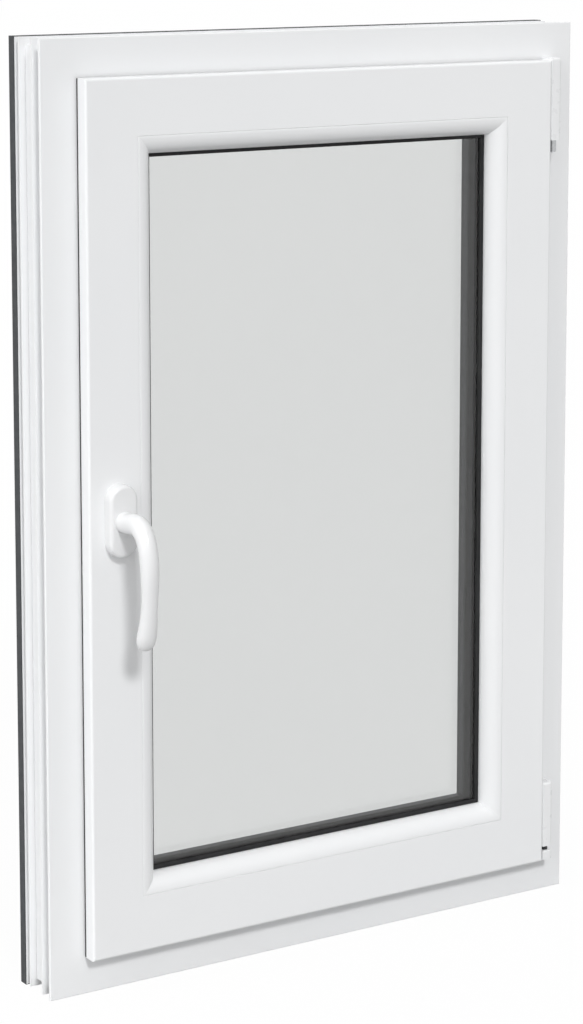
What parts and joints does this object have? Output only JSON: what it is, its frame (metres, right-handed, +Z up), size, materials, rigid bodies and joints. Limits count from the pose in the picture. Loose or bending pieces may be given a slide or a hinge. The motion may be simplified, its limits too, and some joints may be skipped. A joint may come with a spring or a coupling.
{
  "type": "tilt and turn basement window",
  "caption": "Tilt and turn basement window of mitred plastic profiles, white inside and anthracite outside, double glazed, with a lever handle.",
  "frame": {"origin": "bottom centre of the outer frame, on the underside of its outer edge, 5 mm in from the outside face", "axes": "+Z up, +Y out through the wall to the open air, -Y into the room, +X to the right as seen from the room"},
  "size_m": [0.6, 0.1466, 0.9],
  "materials": {
    "white_plastic": "smooth white window plastic, satin gloss",
    "anthracite_foil": "fine grained anthracite foil",
    "seal_rubber": "matt black seal",
    "spacer_bar": "dark warm-edge bar",
    "window_glass": "clear float glass",
    "handle_coating": "white powder coat, satin",
    "hinge_cap": "white moulded cap, satin",
    "zinc_steel": "zinc plated",
    "drain_cap": "matt moulded cap"
  },
  "bodies": {
    "window": {"frame_head": "white_plastic", "frame_sill": "white_plastic", "frame_jamb_left": "white_plastic", "frame_jamb_right": "white_plastic", "sash_top_rail": "white_plastic", "sash_bottom_rail": "white_plastic", "sash_handle_stile": "white_plastic", "sash_hinge_stile": "white_plastic", "bead_top": "white_plastic", "bead_bottom": "white_plastic", "bead_left": "white_plastic", "bead_right": "white_plastic", "frame_foil_head": "anthracite_foil", "frame_foil_sill": "anthracite_foil", "frame_foil_left": "anthracite_foil", "frame_foil_right": "anthracite_foil", "sash_foil_top": "anthracite_foil", "sash_foil_bottom": "anthracite_foil", "sash_foil_left": "anthracite_foil", "sash_foil_right": "anthracite_foil", "frame_gasket": "seal_rubber", "sash_gasket": "seal_rubber", "glazing_gasket_room": "seal_rubber", "glazing_gasket_outer": "seal_rubber", "glass_spacer": "spacer_bar", "pane_room": "window_glass", "pane_outer": "window_glass", "handle_rosette": "handle_coating", "upper_hinge_cover": "hinge_cap", "lower_hinge_band": "hinge_cap", "lower_hinge_bearing": "hinge_cap", "upper_hinge_pin": "zinc_steel", "lower_hinge_pin": "zinc_steel", "drain_caps": "drain_cap"},
    "handle": {"handle_lever": "handle_coating", "handle_spindle": "zinc_steel"}
  },
  "joints": [
    {"name": "handle_turn", "type": "hinge", "parent": "window", "child": "handle", "pos_m": [-0.233, -0.085, 0.456], "axis": [0, -1, 0], "range_deg": [0, 180]}
  ]
}
